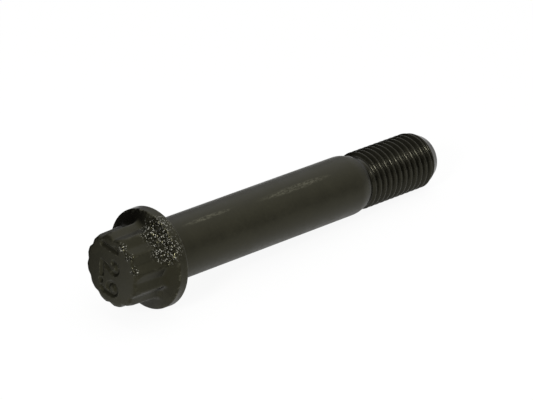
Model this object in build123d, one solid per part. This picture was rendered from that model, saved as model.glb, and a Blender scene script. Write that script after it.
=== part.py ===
from build123d import *
import math
import os

# A 12-point flange bolt, M16 x 2, 100 mm under the head. It is one forged and rolled piece.
# It is drawn upright about Z with the bearing face at z = 0, the head below and the thread above,
# and is then laid down on the rim of its flange and the last crest of its thread.
# All sizes are in mm and degrees.

# Thread
THREAD_D = 15.84
PITCH = 2.0
THREAD_ANGLE = 60.0
THREAD_L = 28.5
RUNOUT_TURNS = 1.5
TIP_CHAMFER_L = 3.0
TIP_CHAMFER_DEPTH = 1.65

# Shank
SHANK_L = 68.3
SHANK_OVERSIZE = 0.76
TAPER_L = 3.2
UNDERHEAD_FILLET = 0.8

# Head
HEAD_H = 14.55
ACROSS_FLATS = 17.5
DRAFT = 2.0
CREST_ROUND = 0.9
VALLEY_ROUND = 1.1
CREST_TURN = 18.0
LEAD_IN = 0.5
LEAD_IN_ANGLE = 72.0
END_BEVEL = 1.0
END_BEVEL_ANGLE = 14.0

# Flange
FLANGE_OVERHANG = 3.495
RIM_T = 2.9
CONE_ANGLE = 22.0
NECK_FLARE = 1.3
RIM_FRONT_BREAK = 0.35
RIM_BACK_BREAK = 0.45

# The width over the points at the end of the head is a hexagon's, cut back by the rounding.
crest_r = ACROSS_FLATS / 2 / math.cos(math.radians(30)) - CREST_ROUND * (1 / math.sin(math.radians(60)) - 1)
draft_rise = math.tan(math.radians(DRAFT))
rim_r = crest_r + FLANGE_OVERHANG
thread_r = THREAD_D / 2
shank_r = (THREAD_D + SHANK_OVERSIZE) / 2
tip_r = thread_r - TIP_CHAMFER_DEPTH

# A thread of this pitch and angle, cut off by an eighth at the crest and a quarter at the root.
half_slope = math.tan(math.radians(THREAD_ANGLE / 2))
crest_w = PITCH / 8
thread_depth = (PITCH - crest_w - PITCH / 4) / 2 / half_slope
root_r = thread_r - thread_depth

taper_end = SHANK_L + TAPER_L
length = taper_end + THREAD_L

# The groove follows a path of this many points a turn, joined from this many lengths.
PATH_STEPS = 12
PATH_LENGTHS = 4

# The bolt lies where the tangent under the flange meets the last full crest.
lie_tilt = math.atan((rim_r - thread_r) / (length - TIP_CHAMFER_L + RIM_BACK_BREAK))


def turned(*corners):
    """A solid turned about Z from its (radius, height) corners."""
    return revolve(make_face(Plane.XZ * Polyline(*corners, close=True)), Axis.Z)


def body():
    """Flange, shank, taper and the plain stock for the thread, run on past the tip.

    The fillet under the head is turned in two flats, on the ends and the middle of its arc.
    """
    cone_rise = math.tan(math.radians(CONE_ANGLE))
    neck_r = ACROSS_FLATS / 2
    flare_r = neck_r + NECK_FLARE
    flare_z = -RIM_T - (rim_r - flare_r) * cone_rise
    break_z = RIM_FRONT_BREAK * cone_rise
    mid_fillet = UNDERHEAD_FILLET * (1 - math.sin(math.radians(45)))
    return turned(
        (0, flare_z - NECK_FLARE),
        (neck_r, flare_z - NECK_FLARE),
        (flare_r, flare_z),
        (rim_r - RIM_FRONT_BREAK, -RIM_T - break_z),
        (rim_r, RIM_FRONT_BREAK - RIM_T),
        (rim_r, -RIM_BACK_BREAK),
        (rim_r - RIM_BACK_BREAK, 0),
        (shank_r + UNDERHEAD_FILLET, 0),
        (shank_r + mid_fillet, mid_fillet),
        (shank_r, UNDERHEAD_FILLET),
        (shank_r, SHANK_L),
        (thread_r, taper_end),
        (thread_r, length + 2 * PITCH),
        (0, length + 2 * PITCH),
    )


def head():
    """The 12-point prism with its draft, its lead-in over the points and its bevelled end."""
    corner_r = ACROSS_FLATS / 2 / math.cos(math.radians(30))
    valley_r = ACROSS_FLATS / 2 / math.cos(math.radians(15))
    points = []
    for step in range(24):
        turn = math.radians(CREST_TURN + 15 * step)
        radius = valley_r if step % 2 else corner_r
        points.append((radius * math.cos(turn), radius * math.sin(turn)))
    star = make_face(Polyline(*points, close=True))
    middle = (corner_r + valley_r) / 2
    star = fillet(star.vertices().filter_by(lambda v: math.hypot(v.X, v.Y) > middle), CREST_ROUND)
    inner = [v for v in star.vertices() if math.hypot(v.X, v.Y) < valley_r + 1e-3]
    star = fillet(inner, VALLEY_ROUND)
    prism = extrude(Plane.XY.offset(-HEAD_H) * star, HEAD_H - RIM_T / 2, taper=-DRAFT)
    lead_r = crest_r - LEAD_IN
    lead_z = -HEAD_H + END_BEVEL * math.tan(math.radians(END_BEVEL_ANGLE))
    widest_r = corner_r + draft_rise * HEAD_H
    ended = turned(
        (0, -HEAD_H),
        (lead_r - END_BEVEL, -HEAD_H),
        (lead_r, lead_z),
        (widest_r, lead_z + (widest_r - lead_r) * math.tan(math.radians(LEAD_IN_ANGLE))),
        (widest_r, 0),
        (0, 0),
    )
    return prism & ended


def groove():
    """What is cut away to leave the thread: one helical groove that fades in near the shank."""
    clear = PITCH / 16
    foot_half = PITCH / 8
    reach = thread_depth + clear
    mouth_half = foot_half + reach * half_slope
    start = taper_end + PITCH / 2
    turns = (length + PITCH - start) / PITCH
    steps = math.ceil(turns * PATH_STEPS)
    path = []
    for step in range(steps + 1):
        turn = step / PATH_STEPS
        out = max(0, 1 - turn / RUNOUT_TURNS)
        radius = root_r + (thread_depth + clear / 2) * out * out * (3 - 2 * out)
        around = 2 * math.pi * turn
        path.append((radius * math.cos(around), radius * math.sin(around), start + PITCH * turn))
    foot_r = path[0][0]
    section = make_face(
        Polyline(
            (foot_r, 0, start - foot_half),
            (foot_r + reach, 0, start - mouth_half),
            (foot_r + reach, 0, start + mouth_half),
            (foot_r, 0, start + foot_half),
            close=True,
        )
    )
    line = Spline(*path).edge()
    lengths = [line.trim(i / PATH_LENGTHS, (i + 1) / PATH_LENGTHS) for i in range(PATH_LENGTHS)]
    return sweep(section, path=Wire(lengths), is_frenet=True)


def tip_trim():
    """What is cut away from the tip: the chamfer and all beyond the flat end."""
    slope = TIP_CHAMFER_L / TIP_CHAMFER_DEPTH
    clear = SHANK_OVERSIZE + TIP_CHAMFER_DEPTH / 2
    return turned(
        (0, length),
        (tip_r, length),
        (thread_r + clear, length - TIP_CHAMFER_L - clear * slope),
        (thread_r + clear, length + 3 * PITCH),
        (0, length + 3 * PITCH),
    )


bolt = body() - (groove() + tip_trim()) + head()

lying = Plane(
    origin=(0, 0, 0),
    x_dir=(math.sin(lie_tilt), 0, math.cos(lie_tilt)),
    z_dir=(math.cos(lie_tilt), 0, -math.sin(lie_tilt)),
)
bolt = lying.location * bolt
bolt.label = "bolt"

os.makedirs("parts", exist_ok=True)
export_step(bolt, "parts/bolt.step")
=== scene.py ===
"""Dresses a 12-point flange bolt of black phosphated steel that lies on a pale studio floor."""
import logging
import math
from abc import ABC, abstractmethod
from dataclasses import dataclass, field
from enum import Enum
from typing import Iterable, Sequence

import bpy
import numpy as np
from mathutils import Matrix, Vector, noise


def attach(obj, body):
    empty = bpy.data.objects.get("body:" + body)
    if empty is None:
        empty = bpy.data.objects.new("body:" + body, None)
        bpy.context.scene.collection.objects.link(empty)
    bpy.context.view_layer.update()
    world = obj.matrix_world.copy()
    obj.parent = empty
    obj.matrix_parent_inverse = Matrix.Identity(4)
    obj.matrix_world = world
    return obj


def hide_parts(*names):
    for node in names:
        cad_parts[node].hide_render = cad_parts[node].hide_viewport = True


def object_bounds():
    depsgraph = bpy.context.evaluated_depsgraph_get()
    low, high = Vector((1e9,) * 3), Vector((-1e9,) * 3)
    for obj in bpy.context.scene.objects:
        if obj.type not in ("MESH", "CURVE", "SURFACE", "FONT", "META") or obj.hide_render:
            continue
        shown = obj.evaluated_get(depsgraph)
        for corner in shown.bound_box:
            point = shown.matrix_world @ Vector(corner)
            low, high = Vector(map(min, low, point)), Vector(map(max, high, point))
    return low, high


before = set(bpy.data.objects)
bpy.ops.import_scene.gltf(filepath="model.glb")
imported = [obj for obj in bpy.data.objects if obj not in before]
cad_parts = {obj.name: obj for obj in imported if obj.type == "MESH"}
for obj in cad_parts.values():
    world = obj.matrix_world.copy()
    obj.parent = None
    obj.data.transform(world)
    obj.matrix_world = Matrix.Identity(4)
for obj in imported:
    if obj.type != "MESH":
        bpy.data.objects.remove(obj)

logging.basicConfig(level=logging.INFO, format="%(message)s")
log = logging.getLogger("bolt")

MM = 0.001
NEARLY = 1e-6
CAD_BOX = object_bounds()
Socket = bpy.types.NodeSocket
Tree = bpy.types.NodeTree
Spot = tuple[float, float]
Place = tuple[float, float, float]

# The inputs of a Mix node by number, because its kinds share their names, and its colour output.
FLOAT_A, FLOAT_B, COLOUR_A, COLOUR_B, COLOUR_OUT = 2, 3, 6, 7, 2


class Region(Enum):
    """The ways in which the bolt's skin was made, in the order of its material slots."""

    FORGED = 0
    DRAWN = 1
    ROLLED = 2
    FACED = 3


def linear(code: str) -> tuple[float, float, float, float]:
    """Turns an sRGB hex colour to linear.

    Args:
        code: The colour as "#rrggbb".

    Returns:
        Its linear red, green and blue, and an alpha of 1.
    """
    shares = [int(code[i : i + 2], 16) / 255 for i in (1, 3, 5)]
    red, green, blue = [c / 12.92 if c <= 0.04045 else ((c + 0.055) / 1.055) ** 2.4 for c in shares]
    return (red, green, blue, 1.0)


def add(tree: Tree, kind: str, inputs: dict | None = None, **settings: str) -> bpy.types.Node:
    """Adds a node with its settings and links.

    Args:
        tree: The node tree that gets it.
        kind: The node's type, such as ShaderNodeTexNoise.
        inputs: Its inputs by name or number. A socket is linked, and anything else is set.
        **settings: Its properties by name.

    Returns:
        The new node.
    """
    made = tree.nodes.new(kind)
    for name, value in settings.items():
        setattr(made, name, value)
    for key, value in (inputs or {}).items():
        if isinstance(value, Socket):
            tree.links.new(value, made.inputs[key])
        else:
            made.inputs[key].default_value = value
    return made


def ease(share: float) -> float:
    """A smooth step from 0 to 1 as share goes from 0 to 1."""
    held = min(1.0, max(0.0, share))
    return held * held * (3 - 2 * held)


def soft_min(a: float, b: float, reach: float) -> float:
    """The smaller of two lengths, rounded where they are within reach of each other."""
    near = max(0.0, 1 - abs(a - b) / reach)
    return min(a, b) - near * near * reach / 4


def soft_max(a: float, b: float, reach: float) -> float:
    """The larger of two lengths, rounded where they are within reach of each other."""
    return -soft_min(-a, -b, reach)


@dataclass(frozen=True)
class Corner:
    """A corner of a turned profile, in mm: its place and round, and the points on its arc and after."""

    r: float
    z: float
    round: float = 0.0
    arc: int = 1
    run: int = 1


def profile(corners: Sequence[Corner]) -> list[Spot]:
    """Draws a profile with rounded corners.

    Args:
        corners: The corners in order; the first and last stay sharp.

    Returns:
        The (radius, height) points, equally many for equally many corners.
    """
    points = [(corners[0].r, corners[0].z)]
    for before, here, after in zip(corners, corners[1:], corners[2:]):
        into = Vector((here.r - before.r, here.z - before.z)).normalized()
        out = Vector((after.r - here.r, after.z - here.z)).normalized()
        bend = -into.angle_signed(out)
        trim = here.round * math.tan(abs(bend) / 2)
        start = Vector((here.r, here.z)) - into * trim
        last = Vector(points[-1])
        for step in range(1, before.run):
            point = last.lerp(start, step / before.run)
            points.append((point.x, point.y))
        side = Vector((-into.y, into.x)) * (1 if bend > 0 else -1)
        centre = start + side * here.round
        for step in range(here.arc):
            turn = bend * step / max(1, here.arc - 1)
            spoke = start - centre
            spoke.rotate(Matrix.Rotation(turn, 2))
            points.append(tuple(centre + spoke))
    end = Vector((corners[-1].r, corners[-1].z))
    last = Vector(points[-1])
    for step in range(1, corners[-2].run + 1):
        point = last.lerp(end, step / corners[-2].run)
        points.append((point.x, point.y))
    return points


@dataclass(frozen=True)
class Lay:
    """How the bolt lies on the floor: tipped by the rim of its flange, its thread end down."""

    rim_r: float = 13.460
    crest_r: float = 7.92
    reach: float = 97.45

    @property
    def tilt(self) -> float:
        """The angle between the bolt's axis and the floor."""
        return math.atan((self.rim_r - self.crest_r) / self.reach)

    def axes(self) -> np.ndarray:
        """The bolt's own three axes as rows, in the row frame."""
        sine, cosine = math.sin(self.tilt), math.cos(self.tilt)
        return np.array([[sine, 0, cosine], [0, -1, 0], [cosine, 0, -sine]])


class Skin:
    """Collects the points and faces of one closed skin, in mm on the bolt's own axes."""

    def __init__(self) -> None:
        """Starts with nothing drawn."""
        self.points: list[Place] = []
        self.faces: list[tuple[int, ...]] = []
        self.regions: list[int] = []

    def point(self, r: float, turn: float, z: float) -> int:
        """Adds a point by radius, turn and height, and returns its number."""
        self.points.append((r * math.cos(turn), r * math.sin(turn), z))
        return len(self.points) - 1

    def ring(self, r: float, z: float, many: int) -> list[int]:
        """Adds a ring of that many points around the axis, and returns their numbers."""
        return [self.point(r, 2 * math.pi * j / many, z) for j in range(many)]

    def face(self, corners: Iterable[int], region: Region) -> None:
        """Adds a face of that region."""
        self.faces.append(tuple(corners))
        self.regions.append(region.value)

    def bridge(self, first: Sequence[int], then: Sequence[int], region: Region) -> None:
        """Joins a ring to the next one toward the thread.

        Args:
            first: The points of the ring nearer to the head's end, or its one middle point.
            then: The points of the next ring, as many or half as many, or its one middle point.
            region: The region of the new faces.
        """
        many = max(len(first), len(then))
        if len(first) == 1:
            for j in range(many):
                self.face((first[0], then[(j + 1) % many], then[j]), region)
        elif len(then) == 1:
            for j in range(many):
                self.face((first[j], first[(j + 1) % many], then[0]), region)
        elif len(first) == 2 * len(then):
            for j in range(len(then)):
                third = first[(2 * j + 2) % many]
                self.face((first[2 * j], first[2 * j + 1], third, then[(j + 1) % len(then)], then[j]), region)
        else:
            for j in range(many):
                k = (j + 1) % many
                self.face((first[j], first[k], then[k], then[j]), region)


@dataclass(frozen=True)
class Figures:
    """The strength figures pressed into the end of the head, as strokes in mm on its flat face.

    A line runs between two spots. A bow has a centre, a radius, and whether it is only the upper
    half of a ring, which then ends bow_foot below the centre.
    """

    reading_turn: float = 181.0
    stroke: float = 1.8
    flat_foot: float = 0.1
    bow_foot: float = 0.1
    straight_wall: float = 0.7
    round_wall: float = 0.3
    lines: tuple[tuple[Spot, Spot], ...] = (
        ((-6.65, -3.6), (-6.2, 1.9)),
        ((-6.2, 1.9), (-6.9, 1.3)),
        ((0.15, 0.8), (-1.7, -3.4)),
        ((-1.7, -3.4), (1.8, -3.4)),
        ((3.55, -3.6), (3.65, -3.6)),
        ((6.2, 0.7), (6.1, -2.6)),
        ((6.1, -2.6), (5.5, -3.4)),
    )
    bows: tuple[tuple[Spot, float, bool], ...] = (((-1.3, 0.9), 1.45, True), ((4.6, 0.65), 1.55, False))

    def depth(self, x: float, y: float) -> float:
        """How far the face is pressed in at a place.

        Args:
            x: The place across the face, in mm.
            y: The place along the face's other axis, in mm.

        Returns:
            0 on the face where nothing is pressed in, 1 at the foot of a stroke.
        """
        turn = math.radians(self.reading_turn)
        across = x * math.cos(turn) + y * math.sin(turn)
        up = x * math.sin(turn) - y * math.cos(turn)
        gap = math.inf
        for (x1, y1), (x2, y2) in self.lines:
            dx, dy = x2 - x1, y2 - y1
            share = ((across - x1) * dx + (up - y1) * dy) / (dx * dx + dy * dy)
            share = min(1.0, max(0.0, share))
            gap = min(gap, math.hypot(across - x1 - dx * share, up - y1 - dy * share))
        for (x1, y1), bow_r, upper_half in self.bows:
            if upper_half and up < y1 - self.bow_foot:
                gap = min(gap, math.hypot(abs(across - x1) - bow_r, up - y1 + self.bow_foot))
            else:
                gap = min(gap, abs(math.hypot(across - x1, up - y1) - bow_r))
        edge = self.stroke / 2
        share = min(1.0, max(0.0, (edge - gap) / (edge - self.flat_foot / 2)))
        return self.straight_wall * share + self.round_wall * ease(share)


@dataclass(frozen=True)
class Head:
    """The forged 12-point head and its flange. Lengths are in mm, from the bearing face."""

    face_z: float = -14.48
    figure_depth: float = 0.48
    figures_within: float = 0.5
    flat_r: float = 8.75
    draft: float = 2.0
    drafted_from: float = -14.55
    crest_round: float = 0.9
    valley_round: float = 1.1
    crest_turn: float = 18.0
    bevel_r: float = 8.45
    bevel_l: float = 1.0
    bevel_angle: float = 13.0
    lead_angle: float = 72.0
    end_round: float = 0.92
    flank_z: float = -8.0
    rim_r: float = 13.44
    rim_z: float = -2.9
    cone_angle: float = 22.0
    foot_round: float = 1.9
    rim_round: float = 0.45
    seat_r: float = 9.3
    columns: int = 360
    face_rings: int = 54
    end_points: int = 13
    flank_steps: int = 4
    unevenness: float = 0.07
    uneven_from: float = -0.6
    uneven_over: float = 1.2
    broad_mm: float = 4.5
    broad_shift: float = 3.1
    broad_share: float = 0.75
    fine_mm: float = 1.3
    fine_shift: float = 7.7
    fine_share: float = 0.25
    figures: Figures = field(default_factory=Figures)

    def star(self, turn: float, z: float) -> float:
        """The head's radius over its flanks.

        Args:
            turn: The angle around the axis, in radians.
            z: The height, which widens the flanks by their draft.

        Returns:
            The radius in mm, with crests and valleys rounded.
        """
        grown = math.tan(math.radians(self.draft)) * (z - self.drafted_from)
        flat, crest_round, valley_round = self.flat_r + grown, self.crest_round + grown, self.valley_round - grown
        off = (turn - math.radians(self.crest_turn)) % (math.pi / 6)
        from_crest = min(off, math.pi / 6 - off)
        from_valley = math.pi / 12 - from_crest
        crest_at = (flat - crest_round) / math.cos(math.pi / 6)
        if math.tan(from_crest) < crest_round / 2 / (crest_at + crest_round * math.cos(math.pi / 6)):
            rise = crest_at * math.sin(from_crest)
            return crest_at * math.cos(from_crest) + math.sqrt(crest_round**2 - rise * rise)
        valley_at = (flat + valley_round) / math.cos(math.pi / 12)
        half = valley_round * math.sin(math.pi / 12)
        if math.tan(from_valley) < half / (valley_at - valley_round * math.cos(math.pi / 12)):
            rise = valley_at * math.sin(from_valley)
            return valley_at * math.cos(from_valley) - math.sqrt(valley_round**2 - rise * rise)
        return flat / math.cos(math.pi / 6 - from_crest)

    def end(self, turn: float, slope: float) -> list[Spot]:
        """The rounded way from the end face over the bevel and the lead-in to the flank.

        Args:
            turn: The angle around the axis, in radians.
            slope: How much the flank widens per mm at that turn.

        Returns:
            The (radius, height) points, as many at every turn.
        """
        bevel, lead = math.radians(self.bevel_angle), math.radians(self.lead_angle)
        lead_z = self.face_z + self.bevel_l * math.tan(bevel)
        flank = math.pi / 2 - math.atan(slope)
        lines = []
        for angle, r, z in (
            (0.0, 0.0, self.face_z),
            (bevel, self.bevel_r, self.face_z),
            (lead, self.bevel_r + self.bevel_l, lead_z),
            (flank, self.star(turn, self.face_z), self.face_z),
        ):
            normal = (math.sin(angle), -math.cos(angle))
            lines.append((normal, normal[0] * r + normal[1] * z - self.end_round))
        # Where the lines cross after they are moved in by the round, the corners that stay are
        # the centres, and every point stands out from one of them by the round.
        inner = []
        for i, ((a, b), e) in enumerate(lines):
            for (c, d), f in lines[i + 1 :]:
                cross = a * d - b * c
                spot = ((e * d - b * f) / cross, (a * f - e * c) / cross)
                if all(n[0] * spot[0] + n[1] * spot[1] <= g + 1e-9 for n, g in lines):
                    inner.append(spot)
        points = []
        for step in range(self.end_points):
            angle = flank * step / (self.end_points - 1)
            out = (math.sin(angle), -math.cos(angle))
            held = max(inner, key=lambda spot: spot[0] * out[0] + spot[1] * out[1])
            points.append((held[0] + self.end_round * out[0], held[1] + self.end_round * out[1]))
        return points

    def column(self, turn: float) -> list[Spot]:
        """The profile from the end face over the flange to its underside, at one turn.

        Args:
            turn: The angle around the axis, in radians.

        Returns:
            The (radius, height) points, as many at every turn.
        """
        slope = (self.star(turn, self.rim_z) - self.star(turn, self.face_z)) / (self.rim_z - self.face_z)
        points = self.end(turn, slope)
        last_z = points[-1][1]
        for step in range(1, self.flank_steps):
            z = last_z + (self.flank_z - last_z) * step / self.flank_steps
            points.append((self.star(turn, z), z))
        flank_r = self.star(turn, self.flank_z)
        rise = math.tan(math.radians(self.cone_angle))
        foot = (self.rim_z - self.flank_z - (self.rim_r - flank_r) * rise) / (1 - slope * rise)
        return points + profile(
            [
                Corner(flank_r, self.flank_z),
                Corner(flank_r + slope * foot, self.flank_z + foot, self.foot_round, arc=8, run=2),
                Corner(self.rim_r, self.rim_z, self.rim_round, arc=7, run=8),
                Corner(self.rim_r, 0, self.rim_round, arc=6, run=4),
                Corner(self.seat_r, 0),
            ]
        )

    def grow(self, skin: Skin) -> list[int]:
        """Draws the head and the flange.

        Args:
            skin: The skin that they are drawn on.

        Returns:
            The last ring, on the bearing face.
        """
        turns = [2 * math.pi * j / self.columns for j in range(self.columns)]
        columns = [self.column(turn) for turn in turns]
        last = [skin.point(0, 0, self.face_z + self.figure_depth * self.figures.depth(0, 0))]
        for step in range(1, self.face_rings + 1):
            ring = []
            for turn, column in zip(turns, columns):
                r = column[0][0] * step / self.face_rings
                depth = self.figures.depth(r * math.cos(turn), r * math.sin(turn))
                ring.append(skin.point(r, turn, self.face_z + self.figure_depth * depth))
            skin.bridge(last, ring, Region.FORGED)
            last = ring
        for step in range(1, len(columns[0])):
            ring = [skin.point(column[step][0], turn, column[step][1]) for column, turn in zip(columns, turns)]
            under = abs(columns[0][step][1]) < NEARLY
            skin.bridge(last, ring, Region.FACED if under else Region.FORGED)
            last = ring
        return last

    def wear_in(self, places: np.ndarray, normals: np.ndarray) -> np.ndarray:
        """Sinks the forged skin here and there, as scale and the dies leave it.

        Args:
            places: The points of the skin, in mm on the bolt's own axes.
            normals: The skin's outward directions there.

        Returns:
            The points, with those of the head and the front of the flange moved inward.
        """
        moved = places.copy()
        wide, small = self.broad_mm, self.fine_mm
        for i in np.flatnonzero(places[:, 2] < self.uneven_from):
            x, y, z = places[i]
            broad = 0.5 + 0.5 * noise.noise(Vector((x / wide + self.broad_shift, y / wide, z / wide)))
            fine = 0.5 + 0.5 * noise.noise(Vector((x / small, y / small + self.fine_shift, z / small)))
            near = ease((self.uneven_from - z) / self.uneven_over)
            mixed = self.broad_share * broad + self.fine_share * fine
            moved[i] -= normals[i] * self.unevenness * near * mixed
        return moved


@dataclass(frozen=True)
class Shank:
    """The smooth shank, with its fillet under the head and its rounded shoulder by the thread."""

    r: float = 8.30
    fillet: float = 0.8
    shank_z: float = 68.3
    bend_z: float = 71.0
    joins_z: float = 71.5
    slope: float = 0.30
    shoulder_rings: int = 9
    columns: int = 180

    def shoulder(self, z: float) -> float:
        """The radius of the shoulder, which bends over and then runs straight down to the roots.

        Args:
            z: The height above the bearing face, in mm.

        Returns:
            The radius in mm.
        """
        bent = min(max(0.0, z - self.shank_z), self.bend_z - self.shank_z)
        straight = max(0.0, z - self.bend_z)
        return self.r - self.slope * (bent * bent / 2 / (self.bend_z - self.shank_z) + straight)

    def grow(self, skin: Skin, seat: Sequence[int]) -> list[int]:
        """Draws the shank.

        Args:
            skin: The skin that it is drawn on.
            seat: The ring on the bearing face that it starts from.

        Returns:
            The last ring, on the shoulder, where the thread joins it.
        """
        line = profile(
            [
                Corner(self.r + 2 * self.fillet, 0),
                Corner(self.r, 0, self.fillet, arc=8, run=40),
                Corner(self.r, self.shank_z),
            ]
        )
        for step in range(1, self.shoulder_rings + 1):
            z = self.shank_z + (self.joins_z - self.shank_z) * step / self.shoulder_rings
            line.append((self.shoulder(z), z))
        last = seat
        for r, z in line[1:]:
            ring = skin.ring(r, z, self.columns)
            skin.bridge(last, ring, Region.FACED if last is seat else Region.DRAWN)
            last = ring
        return last


@dataclass(frozen=True)
class Thread:
    """The rolled right-hand thread, which rises out of the shoulder, and its chamfered end.

    The cuts are the heights over one pitch, in mm, at which each column has its points, closest
    together at the crest and beside the root.
    """

    shank: Shank = field(default_factory=Shank)
    crest_r: float = 7.92
    pitch: float = 2.0
    flank_angle: float = 60.0
    depth: float = 1.0825
    starts_z: float = 72.28
    rises_from: float = -0.1
    rises_over: float = 0.35
    end_z: float = 100.0
    chamfer_l: float = 3.9
    chamfer_depth: float = 1.95
    end_round: float = 0.35
    crest_soft: float = 0.14
    root_soft: float = 0.30
    shoulder_soft: float = 0.25
    chamfer_soft: float = 0.12
    ring_gap: float = 0.04
    first_turn: int = -2
    last_turn: int = 16
    end_steps: int = 4
    face_rings: tuple[float, ...] = (4.6, 3.0, 1.4)
    cuts: tuple[float, ...] = (
        *(0.0, 0.14, 0.25, 0.37, 0.56, 0.74, 0.83, 0.90),
        *(1.0, 1.10, 1.17, 1.26, 1.44, 1.63, 1.75, 1.86),
    )

    def radius(self, turn: float, z: float) -> float:
        """The radius of the thread's skin.

        Args:
            turn: The angle around the axis, from 0 to 2 pi.
            z: The height above the bearing face, in mm.

        Returns:
            The radius in mm, with soft crests and roots.
        """
        along = (z - self.starts_z) / self.pitch - turn / (2 * math.pi)
        off = abs(along - round(along)) * self.pitch
        turns_in = math.floor(along) + turn / (2 * math.pi)
        root = self.crest_r - self.depth
        chamfer = self.crest_r - self.chamfer_depth * (z - self.end_z + self.chamfer_l) / self.chamfer_l
        risen = root + (self.depth + self.crest_soft) * ease((turns_in - self.rises_from) / self.rises_over)
        stock = soft_min(min(self.crest_r, risen), chamfer, self.chamfer_soft)
        wall = root + (off - self.pitch / 8) * math.tan(math.radians(self.flank_angle))
        ridge = soft_min(stock, soft_max(root, wall, self.root_soft), self.crest_soft)
        return soft_max(ridge, self.shank.shoulder(z), self.shoulder_soft)

    def grow(self, skin: Skin, start: Sequence[int]) -> None:
        """Draws the thread and the tip, and closes the skin.

        The columns climb with the thread, so that each face follows it. The first and the last
        face beside a column take in the points that one of its two sides has more.

        Args:
            skin: The skin that they are drawn on.
            start: The ring on the shoulder that it starts from.
        """
        many, around = len(self.cuts), self.shank.columns
        low, high = self.shank.joins_z, self.end_z - self.end_round
        end = skin.ring(self.radius(0, high), high, around)
        columns = []
        for j in range(around):
            share = j / around
            turn = 2 * math.pi * share
            column = {}
            for i in range(self.first_turn * many, self.last_turn * many):
                z = self.starts_z + self.pitch * (share + i // many) + self.cuts[i % many]
                if low + self.ring_gap < z < high - self.ring_gap:
                    column[i] = skin.point(self.radius(turn, z), turn, z)
            columns.append(column)
        for j, here in enumerate(columns):
            k = (j + 1) % around
            shift = many if k == 0 else 0
            beside = {i - shift: number for i, number in columns[k].items()}
            first, last = min(here), max(here)
            entered = [beside[i] for i in range(min(beside), first + 1)]
            skin.face([start[j], start[k], *entered, here[first]], Region.ROLLED)
            top = min(last, max(beside))
            for i in range(first, top):
                skin.face((here[i], beside[i], beside[i + 1], here[i + 1]), Region.ROLLED)
            left = [here[i] for i in range(last, top, -1)]
            skin.face([here[top], beside[top], end[k], end[j], *left], Region.ROLLED)
        slope = self.chamfer_depth / self.chamfer_l
        tip_r = self.crest_r - self.chamfer_depth
        last = end
        for step in range(1, self.end_steps + 1):
            bend = math.pi / 2 * step / self.end_steps
            r = tip_r + slope * self.end_round * (1 - math.sin(bend)) - self.end_round * (1 - math.cos(bend))
            ring_z = high + self.end_round * math.sin(bend)
            ring = skin.ring(r, ring_z, around)
            skin.bridge(last, ring, Region.ROLLED)
            last = ring
        for r in self.face_rings:
            ring = skin.ring(r, ring_z, around)
            skin.bridge(last, ring, Region.FACED)
            last = ring
        skin.bridge(last, [skin.point(0, 0, ring_z)], Region.FACED)


@dataclass(frozen=True)
class Patch:
    """A soft-edged place on the bolt, in mm on its own axes, and the share of it that is full."""

    centre: Place
    half: Place
    full_to: float = 0.35

    def mask(self, tree: Tree, place: Socket) -> Socket:
        """Draws the place.

        Args:
            tree: The node tree that it is drawn in.
            place: The place on the bolt's own axes, in mm.

        Returns:
            1 in its middle, falling to 0 at its edge.
        """
        shift = add(tree, "ShaderNodeVectorMath", {0: place, 1: self.centre}, operation="SUBTRACT")
        share = add(tree, "ShaderNodeVectorMath", {0: shift.outputs[0], 1: self.half}, operation="DIVIDE")
        far = add(tree, "ShaderNodeVectorMath", {0: share.outputs[0]}, operation="LENGTH")
        inputs = {"Value": far.outputs["Value"], "From Min": self.full_to, "To Min": 1.0, "To Max": 0.0}
        fall = add(tree, "ShaderNodeMapRange", inputs, interpolation_type="SMOOTHSTEP")
        return fall.outputs["Result"]


def together(tree: Tree, patches: Sequence[Patch], place: Socket) -> Socket:
    """Draws several places as one.

    Args:
        tree: The node tree that they are drawn in.
        patches: The places.
        place: The place on the bolt's own axes, in mm.

    Returns:
        The largest of their masks.
    """
    mask = patches[0].mask(tree, place)
    for patch in patches[1:]:
        mask = add(tree, "ShaderNodeMath", {0: mask, 1: patch.mask(tree, place)}, operation="MAXIMUM").outputs[0]
    return mask


@dataclass
class Coat:
    """A coat while it is drawn: its tree, the place on the bolt's own axes in mm, and its look."""

    tree: Tree
    place: Socket
    colour: Socket
    rough: Socket


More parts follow.
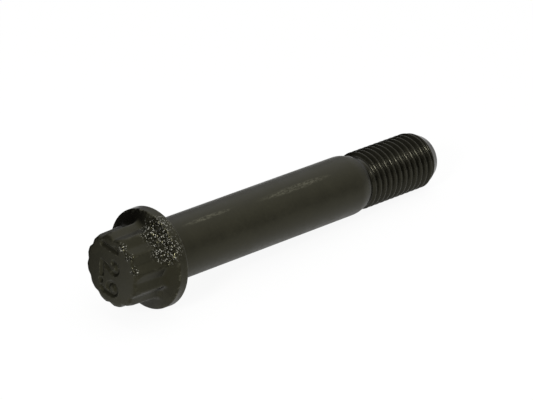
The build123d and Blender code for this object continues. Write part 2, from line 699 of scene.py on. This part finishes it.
@dataclass(frozen=True)
class BlackPhosphate(ABC):
    """Black phosphate on steel, soaked in oil.

    The porous coat is nearly black with a touch of olive and mirrors little. Where the oil has
    drawn together it is darker and wetter, and that gives slow blotches over the whole bolt.
    """

    name: str
    dark: str = "#100f0b"
    pale: str = "#1a1913"
    tint: str = "#fffac8"
    ior: float = 1.33
    dry: float = 0.45
    wet: float = 0.34
    blotch_mm: float = 5.0
    mottle_mm: float = 0.9
    dark_to: float = 0.75
    pale_from: float = 1.25

    def make(self) -> bpy.types.Material:
        """Makes the material.

        Returns:
            The material, with the coat and the marks of its finish.
        """
        material = bpy.data.materials.new(self.name)
        material.use_nodes = True
        tree = material.node_tree
        tree.nodes.clear()
        coat = self.coat(tree)
        inputs = {"Normal": self.dress(coat), "Base Color": coat.colour, "Roughness": coat.rough}
        inputs |= {"IOR": self.ior, "Specular Tint": linear(self.tint)}
        shader = add(tree, "ShaderNodeBsdfPrincipled", inputs)
        add(tree, "ShaderNodeOutputMaterial", {"Surface": shader.outputs[0]})
        return material

    @abstractmethod
    def dress(self, coat: Coat) -> Socket:
        """Draws the marks of the finish on the coat, and returns the normal with their relief."""

    def coat(self, tree: Tree) -> Coat:
        """Draws the coat's blotches.

        Args:
            tree: The node tree that it is drawn in.

        Returns:
            The coat without the marks of its finish.
        """
        place = add(tree, "ShaderNodeAttribute", attribute_name="place_mm").outputs["Vector"]
        blotch = add(tree, "ShaderNodeTexNoise", {"Vector": place, "Scale": 1 / self.blotch_mm, "Detail": 3.0})
        mottle = add(
            tree, "ShaderNodeTexNoise", {"Vector": place, "Scale": 1 / self.mottle_mm, "Detail": 5.0, "Roughness": 0.6}
        )
        both = add(tree, "ShaderNodeMath", {0: blotch.outputs["Fac"], 1: mottle.outputs["Fac"]}, operation="ADD")
        share = add(
            tree, "ShaderNodeMapRange", {"Value": both.outputs[0], "From Min": self.dark_to, "From Max": self.pale_from}
        ).outputs["Result"]
        shades = {"Factor": share, COLOUR_A: linear(self.dark), COLOUR_B: linear(self.pale)}
        colour = add(tree, "ShaderNodeMix", shades, data_type="RGBA")
        rough = add(tree, "ShaderNodeMapRange", {"Value": share, "To Min": self.wet, "To Max": self.dry})
        return Coat(tree, place, colour.outputs[COLOUR_OUT], rough.outputs["Result"])


@dataclass(frozen=True)
class ForgedPhosphate(BlackPhosphate):
    """The same coat over hot-forged steel, on the head and the flange.

    Scale leaves small flat-sided pits, and where they lie close they sparkle as single points; on a few of them a pale
    glint is painted, a painted highlight.
    They are 0.24 mm across, coarser than most real ones, so that one shows as a point. Oil has pooled on the flange
    beside the head, where the coat is smoother; there and on the pitted places the coat is also painted darker, partly
    the oil and partly painted shade, and the foot of the figures is painted dark as shade in their recesses. The edges
    are rubbed pale here and there.
    """

    name: str = "black_phosphate_on_forged_steel"
    dry: float = 0.50
    wet: float = 0.38
    pit_mm: float = 0.24
    pit_lean: float = 1.1
    calm_lean: float = 0.03
    pit_rough: float = 0.20
    pool_rough: float = 0.17
    # Painted shade: darker than the coat where oil has pooled, on the pitted places and in the figures' recesses.
    oil_and_painted_shade: str = "#0a0907"
    # How deep into a figure the painted shade of its recess begins, and where it is full.
    recess_shade_from: float = 0.1
    recess_shade_full: float = 0.7
    worn: str = "#4d4c42"
    rubs_per_mm: float = 1.1
    rub_from: float = 0.5
    rub_full: float = 0.72
    # A pale colour painted on a few pits as glints: a painted highlight.
    painted_glint: str = "#bdbcb0"
    painted_glint_from: float = 0.87
    pitted: tuple[Patch, ...] = (
        Patch((9.6, 4.8, -3.8), (5.4, 5.4, 5.4), 0.35),
        Patch((6.4, 9.0, -3.8), (5.0, 5.0, 5.4), 0.35),
        Patch((8.0, 3.7, -14.0), (1.6, 1.6, 1.3), 0.5),
        Patch((6.2, 6.4, -14.0), (1.6, 1.6, 1.3), 0.5),
        Patch((3.1, 8.4, -14.0), (1.6, 1.6, 1.3), 0.5),
        Patch((-8.5, -7.5, -4.0), (6.0, 6.0, 4.0), 0.4),
    )
    # Places on the flange where oil has pooled and the coat is also painted darker, as shade.
    oiled_and_shaded: tuple[Patch, ...] = (
        Patch((9.8, -6.0, -4.4), (8.5, 8.5, 4.8), 0.62),
        Patch((-2.5, 11.2, -4.0), (6.5, 5.0, 4.0), 0.5),
    )

    def dress(self, coat: Coat) -> Socket:
        """Draws the pits, the pooled oil and the rubbed edges.

        Args:
            coat: The coat that they are drawn on.

        Returns:
            The normal, with their relief.
        """
        tree, place = coat.tree, coat.place
        pitted = together(tree, self.pitted, place)
        # Each pit is one cell, whose random colour gives how it leans and whether it gets a painted glint, a pale dot
        # painted as a highlight.
        pits = add(tree, "ShaderNodeTexVoronoi", {"Vector": place, "Scale": 1 / self.pit_mm}, feature="F1")
        lean = add(tree, "ShaderNodeVectorMath", {0: pits.outputs["Color"], 1: (0.5, 0.5, 0.5)}, operation="SUBTRACT")
        reach = add(tree, "ShaderNodeMapRange", {"Value": pitted, "To Min": self.calm_lean, "To Max": self.pit_lean})
        lean = add(tree, "ShaderNodeVectorMath", {0: lean.outputs[0], "Scale": reach.outputs[0]}, operation="SCALE")
        surface = add(tree, "ShaderNodeNewGeometry")
        facing = add(tree, "ShaderNodeVectorMath", {0: surface.outputs["Normal"], 1: lean.outputs[0]}, operation="ADD")
        facing = add(tree, "ShaderNodeVectorMath", {0: facing.outputs[0]}, operation="NORMALIZE")
        # Where oil has pooled and on the pitted places the coat is smoother, and it is painted darker as shade.
        oiled_and_shaded = together(tree, self.oiled_and_shaded + self.pitted, place)
        for mask, smooth in ((oiled_and_shaded, self.pool_rough), (pitted, self.pit_rough)):
            smoothed = {"Factor": mask, FLOAT_A: coat.rough, FLOAT_B: smooth}
            coat.rough = add(tree, "ShaderNodeMix", smoothed, data_type="FLOAT").outputs[0]
        # A few pits in the pitted places get a pale painted glint, a painted highlight.
        chance = add(tree, "ShaderNodeSeparateXYZ", {0: pits.outputs["Color"]})
        painted_glints = add(tree, "ShaderNodeMapRange", {"Value": chance.outputs["Y"], "From Min": self.painted_glint_from})
        painted_glints = add(tree, "ShaderNodeMath", {0: painted_glints.outputs[0], 1: pitted}, operation="MULTIPLY")
        sunk = add(tree, "ShaderNodeAttribute", attribute_name="sunk").outputs["Fac"]
        # The foot of the figures is painted dark, as painted shade in the recesses.
        foot = add(tree, "ShaderNodeMapRange", {"Value": sunk, "From Min": self.recess_shade_from, "From Max": self.recess_shade_full})
        edge = add(tree, "ShaderNodeAttribute", attribute_name="edge")
        rub = add(tree, "ShaderNodeTexNoise", {"Vector": place, "Scale": self.rubs_per_mm, "Detail": 4.0})
        inputs = {"Value": rub.outputs["Fac"], "From Min": self.rub_from, "From Max": self.rub_full}
        rubbed = add(tree, "ShaderNodeMapRange", inputs)
        rubbed = add(tree, "ShaderNodeMath", {0: rubbed.outputs[0], 1: edge.outputs["Fac"]}, operation="MULTIPLY")
        # Mixes in the painted shade, the painted glints, the painted shade of the recesses and the rubbed edges.
        for mask, stain in (
            (oiled_and_shaded, self.oil_and_painted_shade),
            (painted_glints.outputs[0], self.painted_glint),
            (foot.outputs[0], self.oil_and_painted_shade),
            (rubbed.outputs[0], self.worn),
        ):
            stained = {"Factor": mask, COLOUR_A: coat.colour, COLOUR_B: linear(stain)}
            coat.colour = add(tree, "ShaderNodeMix", stained, data_type="RGBA").outputs[COLOUR_OUT]
        return facing.outputs[0]


@dataclass(frozen=True)
class DrawnPhosphate(BlackPhosphate):
    """The same coat over the drawn shank.

    Drawing leaves faint lines along the bolt, 0.12 mm apart and 6 mm long, and handling has rubbed
    pale broken streaks along it, of specks 0.4 by 1.1 mm, where the coat stands highest.
    """

    name: str = "black_phosphate_on_drawn_steel"
    line_mm: float = 0.12
    line_stretch: Place = (1.0, 1.0, 0.02)
    line_depth_mm: float = 0.02
    scuff: str = "#434238"
    specks_per_mm: float = 3.0
    speck_stretch: Place = (0.8, 0.8, 0.3)
    rub_from: float = 0.43
    rub_full: float = 0.62
    scuffs: tuple[Patch, ...] = (
        Patch((7.62, 3.30, 15.5), (0.85, 0.85, 10.5), 0.4),
        Patch((7.32, 3.92, 46.5), (1.15, 1.15, 15.5), 0.4),
    )

    def dress(self, coat: Coat) -> Socket:
        """Draws the lines and the streaks.

        Args:
            coat: The coat that they are drawn on.

        Returns:
            The normal, with their relief.
        """
        tree, place = coat.tree, coat.place
        drawn = add(tree, "ShaderNodeVectorMath", {0: place, 1: self.line_stretch}, operation="MULTIPLY")
        lines = add(tree, "ShaderNodeTexNoise", {"Vector": drawn.outputs[0], "Scale": 1 / self.line_mm, "Detail": 2.0})
        inputs = {"Strength": 0.25, "Distance": self.line_depth_mm * MM, "Height": lines.outputs["Fac"]}
        relief = add(tree, "ShaderNodeBump", inputs)
        broken = add(tree, "ShaderNodeVectorMath", {0: place, 1: self.speck_stretch}, operation="MULTIPLY")
        inputs = {"Vector": broken.outputs[0], "Scale": self.specks_per_mm, "Detail": 6.0, "Roughness": 0.7}
        specks = add(tree, "ShaderNodeTexNoise", inputs)
        inputs = {"Value": specks.outputs["Fac"], "From Min": self.rub_from, "From Max": self.rub_full}
        rubbed = add(tree, "ShaderNodeMapRange", inputs)
        rubbed = add(
            tree, "ShaderNodeMath", {0: rubbed.outputs[0], 1: together(tree, self.scuffs, place)}, operation="MULTIPLY"
        )
        stained = {"Factor": rubbed.outputs[0], COLOUR_A: coat.colour, COLOUR_B: linear(self.scuff)}
        coat.colour = add(tree, "ShaderNodeMix", stained, data_type="RGBA").outputs[COLOUR_OUT]
        return relief.outputs[0]


@dataclass(frozen=True)
class RolledPhosphate(BlackPhosphate):
    """The same coat over the rolled thread, wet with oil.

    Rolling burnishes the steel, so the coat lies smoother and catches narrow lights on the crests,
    where it is a little paler. Its grain is 0.25 mm, coarser than the real one, so that it shows.
    """

    name: str = "oiled_black_phosphate_on_rolled_thread"
    tint: str = "#fffbdc"
    dark: str = "#0b0a07"
    pale: str = "#13120d"
    dry: float = 0.26
    wet: float = 0.19
    blotch_mm: float = 3.0
    mottle_mm: float = 0.5
    crest: str = "#181712"
    grains_per_mm: float = 4.0
    grain_depth_mm: float = 0.02

    def dress(self, coat: Coat) -> Socket:
        """Draws the crests and the grain.

        Args:
            coat: The coat that they are drawn on.

        Returns:
            The normal, with their relief.
        """
        tree, place = coat.tree, coat.place
        edge = add(tree, "ShaderNodeAttribute", attribute_name="edge")
        stained = {"Factor": edge.outputs["Fac"], COLOUR_A: coat.colour, COLOUR_B: linear(self.crest)}
        coat.colour = add(tree, "ShaderNodeMix", stained, data_type="RGBA").outputs[COLOUR_OUT]
        fine = add(tree, "ShaderNodeTexNoise", {"Vector": place, "Scale": self.grains_per_mm, "Detail": 4.0})
        inputs = {"Strength": 0.3, "Distance": self.grain_depth_mm * MM, "Height": fine.outputs["Fac"]}
        relief = add(tree, "ShaderNodeBump", inputs)
        return relief.outputs[0]


@dataclass(frozen=True)
class FacedPhosphate(BlackPhosphate):
    """The same coat over the faced underside of the flange and the end of the thread.

    The tool leaves fine rings, drawn 0.25 mm apart where real ones are nearer to 0.1 mm.
    """

    name: str = "black_phosphate_on_faced_steel"
    ring_mm: float = 0.25
    ring_depth_mm: float = 0.01

    def dress(self, coat: Coat) -> Socket:
        """Draws the rings.

        Args:
            coat: The coat that they are drawn on.

        Returns:
            The normal, with their relief.
        """
        tree, place = coat.tree, coat.place
        flat = add(tree, "ShaderNodeVectorMath", {0: place, 1: (1.0, 1.0, 0.0)}, operation="MULTIPLY")
        out = add(tree, "ShaderNodeVectorMath", {0: flat.outputs[0]}, operation="LENGTH")
        phase = add(
            tree, "ShaderNodeMath", {0: out.outputs["Value"], 1: 2 * math.pi / self.ring_mm}, operation="MULTIPLY"
        )
        rings = add(tree, "ShaderNodeMath", {0: phase.outputs[0]}, operation="SINE")
        relief = add(
            tree, "ShaderNodeBump", {"Strength": 0.35, "Distance": self.ring_depth_mm * MM, "Height": rings.outputs[0]}
        )
        return relief.outputs[0]


@dataclass
class Bolt:
    """The bolt: one piece of steel, forged at the head, drawn on the shank and rolled at the thread.

    A bend of edge_from, in 1/mm, begins to count as an edge, and edge_over more is a full one.
    """

    lay: Lay = field(default_factory=Lay)
    head: Head = field(default_factory=Head)
    thread: Thread = field(default_factory=Thread)
    edge_from: float = 0.25
    edge_over: float = 1.2

    def build(self) -> bpy.types.Object:
        """Draws the skin, lays it down and gives it its finishes.

        Returns:
            The finished bolt.
        """
        skin = Skin()
        seat = self.head.grow(skin)
        foot = self.thread.shank.grow(skin, seat)
        self.thread.grow(skin, foot)
        mesh = bpy.data.meshes.new("bolt_skin")
        places = np.array(skin.points)
        mesh.from_pydata((places @ self.lay.axes() * MM).tolist(), [], skin.faces)
        mesh.polygons.foreach_set("material_index", skin.regions)
        mesh.polygons.foreach_set("use_smooth", [True] * len(skin.faces))
        mesh.update()
        places = self.head.wear_in(places, self.normals(mesh))
        mesh.vertices.foreach_set("co", (places @ self.lay.axes() * MM).astype(np.float32).ravel())
        mesh.update()
        self.note(mesh, places)
        bolt = bpy.data.objects.new("bolt_skin", mesh)
        bpy.context.scene.collection.objects.link(bolt)
        for finish in (ForgedPhosphate(), DrawnPhosphate(), RolledPhosphate(), FacedPhosphate()):
            mesh.materials.append(finish.make())
        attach(bolt, "root")
        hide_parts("bolt")
        return bolt

    def normals(self, mesh: bpy.types.Mesh) -> np.ndarray:
        """Reads the outward direction at each point of the skin.

        Args:
            mesh: The skin's mesh.

        Returns:
            The directions as rows, on the bolt's own axes.
        """
        found = np.zeros(len(mesh.vertices) * 3, dtype=np.float32)
        mesh.vertices.foreach_get("normal", found)
        return found.reshape(-1, 3) @ self.lay.axes().T

    def note(self, mesh: bpy.types.Mesh, places: np.ndarray) -> None:
        """Keeps on each point its place on the bolt's own axes, its edge and its part of a figure.

        Args:
            mesh: The skin's mesh.
            places: Its points in mm on the bolt's own axes.
        """
        own = mesh.attributes.new("place_mm", "FLOAT_VECTOR", "POINT")
        own.data.foreach_set("vector", places.astype(np.float32).ravel())
        edges = np.zeros(len(mesh.edges) * 2, dtype=np.int32)
        mesh.edges.foreach_get("vertices", edges)
        ends = edges.reshape(-1, 2)
        normals = self.normals(mesh)
        span = places[ends[:, 1]] - places[ends[:, 0]]
        fall = -(span * normals[ends[:, 0]]).sum(1)
        rise = (span * normals[ends[:, 1]]).sum(1)
        reach = np.maximum((span * span).sum(1), NEARLY)
        bend = np.zeros(len(places))
        np.maximum.at(bend, ends[:, 0], fall / reach)
        np.maximum.at(bend, ends[:, 1], rise / reach)
        figures = np.zeros(len(places))
        head = self.head
        on_face = places[:, 2] < head.face_z + head.figures_within
        for i in np.flatnonzero(on_face & (np.hypot(*places[:, :2].T) < head.bevel_r)):
            figures[i] = head.figures.depth(places[i, 0], places[i, 1])
        sunk = mesh.attributes.new("sunk", "FLOAT", "POINT")
        sunk.data.foreach_set("value", figures.astype(np.float32))
        edge = mesh.attributes.new("edge", "FLOAT", "POINT")
        share = np.clip((bend - self.edge_from) / self.edge_over, 0, 1)
        edge.data.foreach_set("value", share.astype(np.float32))


@dataclass
class Studio:
    """The pale floor, the soft lights and the camera, with lengths in mm from the bolt's seat.

    The room is dim low down, past the head and on its dark side, which shows on the thread and the
    flange. A light or a glow of 1 is white.
    """

    azimuth: float = -133.91
    elevation: float = 26.92
    distance: float = 768.01
    right: float = 28.941
    up: float = 14.31
    lens: float = 202.92
    sensor: float = 36.0
    nearest: float = 10.0
    aim: Place = (50.0, 0.0, 0.0)
    floor_rings: tuple[float, ...] = (200, 1000, 4000)
    floor_columns: int = 96
    floor_colour: str = "#f4f4f2"
    floor_glow: float = 0.92
    mirrored_glow: float = 0.5
    waves: float = 900.0
    wave_depth: float = 0.05
    # Where the floor's painted shade toward the dark side is measured from, in mm.
    head_end: Place = (-14.5, 0.0, 0.0)
    dark_side: Place = (-0.08, 1.0, 0.0)
    dark_share: float = 0.97
    dark_edge: float = 0.55
    dark_core: float = 0.95
    low_light: float = 0.42
    high_light: float = 1.25
    high_from: float = 0.75
    head_light: float = 0.25
    head_core: float = -0.9
    head_edge: float = 0.2

    def look(self) -> np.ndarray:
        """Works out how the camera stands.

        Returns:
            Its right, up and back axes as rows.
        """
        turn, rise = math.radians(self.azimuth), math.radians(self.elevation)
        back = np.array([math.cos(rise) * math.cos(turn), math.cos(rise) * math.sin(turn), math.sin(rise)])
        right = np.array([-math.sin(turn), math.cos(turn), 0])
        return np.array([right, np.cross(back, right), back])

    def place_camera(self) -> None:
        """Puts the camera where the photograph was taken from."""
        axes = self.look()
        place = (self.right * axes[0] + self.up * axes[1] + self.distance * axes[2]) * MM
        camera = bpy.data.cameras.new("camera")
        camera.lens = self.lens
        camera.sensor_width = self.sensor
        camera.clip_start = self.nearest * MM
        seen = bpy.data.objects.new("camera", camera)
        seen.matrix_world = Matrix.Translation(place) @ Matrix(axes.T.tolist()).to_4x4()
        bpy.context.scene.collection.objects.link(seen)
        bpy.context.scene.camera = seen

    def lamp(self, name: str, toward: Sequence[float], size_mm: float, watts: float, gloss: bool = True) -> None:
        """Hangs a square soft lamp that faces the bolt.

        Args:
            name: The lamp's name.
            toward: Its place on the camera's right, up and back axes, in mm from what it aims at.
            size_mm: The length of its side.
            watts: Its power.
            gloss: Whether it shows in reflections.
        """
        aim = Vector(self.aim) * MM
        place = Vector(np.array(toward) @ self.look() * MM) + aim
        light = bpy.data.lights.new(name, "AREA")
        light.size = size_mm * MM
        light.energy = watts
        lamp = bpy.data.objects.new(name, light)
        lamp.location = place
        lamp.rotation_euler = (place - aim).to_track_quat("Z", "Y").to_euler()
        lamp.visible_glossy = gloss
        bpy.context.scene.collection.objects.link(lamp)

    def build(self, floor_z: float) -> None:
        """Sets up the floor, the lights, the world and the camera.

        Args:
            floor_z: The floor's height, in metres.
        """
        self.place_camera()
        self.lay_floor(floor_z)
        self.surround()
        self.lamp("key_softbox", (-270, 70, 700), 125, 3.0)
        self.lamp("overhead_softbox", (100, 650, 300), 500, 0.8, False)
        bpy.context.scene.view_settings.view_transform = "Standard"

    def light_from(self, tree: Tree, direction: Socket) -> Socket:
        """How much light comes from a direction, with the room's dark side taken off; on the floor it paints that side
        as shade.

        Args:
            tree: The node tree that it is drawn in.
            direction: The direction from the bolt, of length 1.

        Returns:
            1 away from the dark side, and near 0 in its middle.
        """
        inputs = {0: direction, 1: tuple(Vector(self.dark_side).normalized())}
        side = add(tree, "ShaderNodeVectorMath", inputs, operation="DOT_PRODUCT")
        shade = add(
            tree,
            "ShaderNodeMapRange",
            {
                "Value": side.outputs["Value"],
                "From Min": self.dark_edge,
                "From Max": self.dark_core,
                "To Min": 1.0,
                "To Max": 1 - self.dark_share,
            },
            interpolation_type="SMOOTHSTEP",
        )
        return shade.outputs["Result"]

    def lay_floor(self, floor_z: float) -> None:
        """Lays a round sheet of matt white studio paper.

        It takes a soft shadow and mirrors nothing. To the camera and in gloss it glows, as a lit sweep does. To
        everything but the camera it is painted darker toward the room's dark side beyond the head, a painted shade that
        shows in the bolt's reflections and in the light it throws back. Its waves are about 9 mm long, coarser than
        real paper's grain.

        Args:
            floor_z: The floor's height, in metres.
        """
        many = self.floor_columns
        turns = [2 * math.pi * j / many for j in range(many)]
        points = [(0.0, 0.0, floor_z)]
        for r in self.floor_rings:
            points += [(r * MM * math.cos(turn), r * MM * math.sin(turn), floor_z) for turn in turns]
        faces = [(0, 1 + j, 1 + (j + 1) % many) for j in range(many)]
        for base in range(1, len(points) - many, many):
            for j in range(many):
                k = (j + 1) % many
                faces.append((base + j, base + many + j, base + many + k, base + k))
        mesh = bpy.data.meshes.new("floor")
        mesh.from_pydata(points, [], faces)
        floor = bpy.data.objects.new("floor", mesh)
        bpy.context.scene.collection.objects.link(floor)
        material = bpy.data.materials.new("matt_white_studio_paper")
        material.use_nodes = True
        tree = material.node_tree
        tree.nodes.clear()
        wave = add(tree, "ShaderNodeTexNoise", {"Scale": self.waves, "Detail": 2.0})
        waved = {"Strength": 0.1, "Distance": self.wave_depth * MM, "Height": wave.outputs[0]}
        relief = add(tree, "ShaderNodeBump", waved)
        rays = add(tree, "ShaderNodeLightPath")
        place = add(tree, "ShaderNodeNewGeometry")
        reached = {0: place.outputs["Position"], 1: tuple(Vector(self.head_end) * MM)}
        outward = add(tree, "ShaderNodeVectorMath", reached, operation="SUBTRACT")
        outward = add(tree, "ShaderNodeVectorMath", {0: outward.outputs[0]}, operation="NORMALIZE")
        # Except to the camera, the paper's colour and glow are painted darker toward the room's dark side: painted
        # shade.
        strength = add(
            tree,
            "ShaderNodeMix",
            {"Factor": rays.outputs["Is Camera Ray"], FLOAT_A: self.light_from(tree, outward.outputs[0]), FLOAT_B: 1.0},
            data_type="FLOAT",
        )
        inputs = {"Factor": strength.outputs[0], COLOUR_A: linear("#000000"), COLOUR_B: linear(self.floor_colour)}
        colour = add(tree, "ShaderNodeMix", inputs, data_type="RGBA")
        paper = add(tree, "ShaderNodeBsdfDiffuse", {"Color": colour.outputs[COLOUR_OUT], "Normal": relief.outputs[0]})
        glow = add(tree, "ShaderNodeEmission", {"Color": linear("#ffffff"), "Strength": strength.outputs[0]})
        share = add(
            tree, "ShaderNodeMath", {0: rays.outputs["Is Camera Ray"], 1: self.floor_glow}, operation="MULTIPLY"
        ).outputs[0]
        for kind in ("Is Glossy Ray", "Is Transmission Ray"):
            seen = add(tree, "ShaderNodeMath", {0: rays.outputs[kind], 1: self.mirrored_glow}, operation="MULTIPLY")
            share = add(tree, "ShaderNodeMath", {0: share, 1: seen.outputs[0]}, operation="MAXIMUM").outputs[0]
        mixed = add(tree, "ShaderNodeMixShader", {0: share, 1: paper.outputs[0], 2: glow.outputs[0]})
        add(tree, "ShaderNodeOutputMaterial", {"Surface": mixed.outputs[0]})
        mesh.materials.append(material)

    def surround(self) -> None:
        """Lights the bolt from all round, and shows the camera plain white.

        It is brighter from above, and dimmer low down, past the head and on the dark side.
        """
        world = bpy.data.worlds.new("studio_surround")
        world.use_nodes = True
        tree = world.node_tree
        tree.nodes.clear()
        where = add(tree, "ShaderNodeTexCoord").outputs["Generated"]
        parts = add(tree, "ShaderNodeSeparateXYZ", {0: where})
        light = self.light_from(tree, where)
        for axis, dim_at, full_at, dim, full in (
            ("Z", 0.0, self.high_from, self.low_light, self.high_light),
            ("X", self.head_core, self.head_edge, self.head_light, 1.0),
        ):
            inputs = {"Value": parts.outputs[axis], "From Min": dim_at, "From Max": full_at, "To Min": dim, "To Max": full}
            fade = add(tree, "ShaderNodeMapRange", inputs, interpolation_type="SMOOTHSTEP")
            light = add(tree, "ShaderNodeMath", {0: fade.outputs[0], 1: light}, operation="MULTIPLY").outputs[0]
        rays = add(tree, "ShaderNodeLightPath")
        inputs = {"Factor": rays.outputs["Is Camera Ray"], FLOAT_A: light, FLOAT_B: 1.0}
        strength = add(tree, "ShaderNodeMix", inputs, data_type="FLOAT")
        glow = add(tree, "ShaderNodeBackground", {"Color": linear("#ffffff"), "Strength": strength.outputs[0]})
        add(tree, "ShaderNodeOutputWorld", {"Surface": glow.outputs[0]})
        bpy.context.scene.world = world


def main() -> None:
    """Builds the bolt and the studio, and reports each piece."""
    bolt = Bolt().build()
    bolt.data.calc_loop_triangles()
    log.info("%s: %d points, %d triangles", bolt.name, len(bolt.data.vertices), len(bolt.data.loop_triangles))
    Studio().build(CAD_BOX[0][2])
    bpy.context.view_layer.update()
    log.info("cad box %s", [list(c) for c in CAD_BOX])


if __name__ == "__main__":
    main()
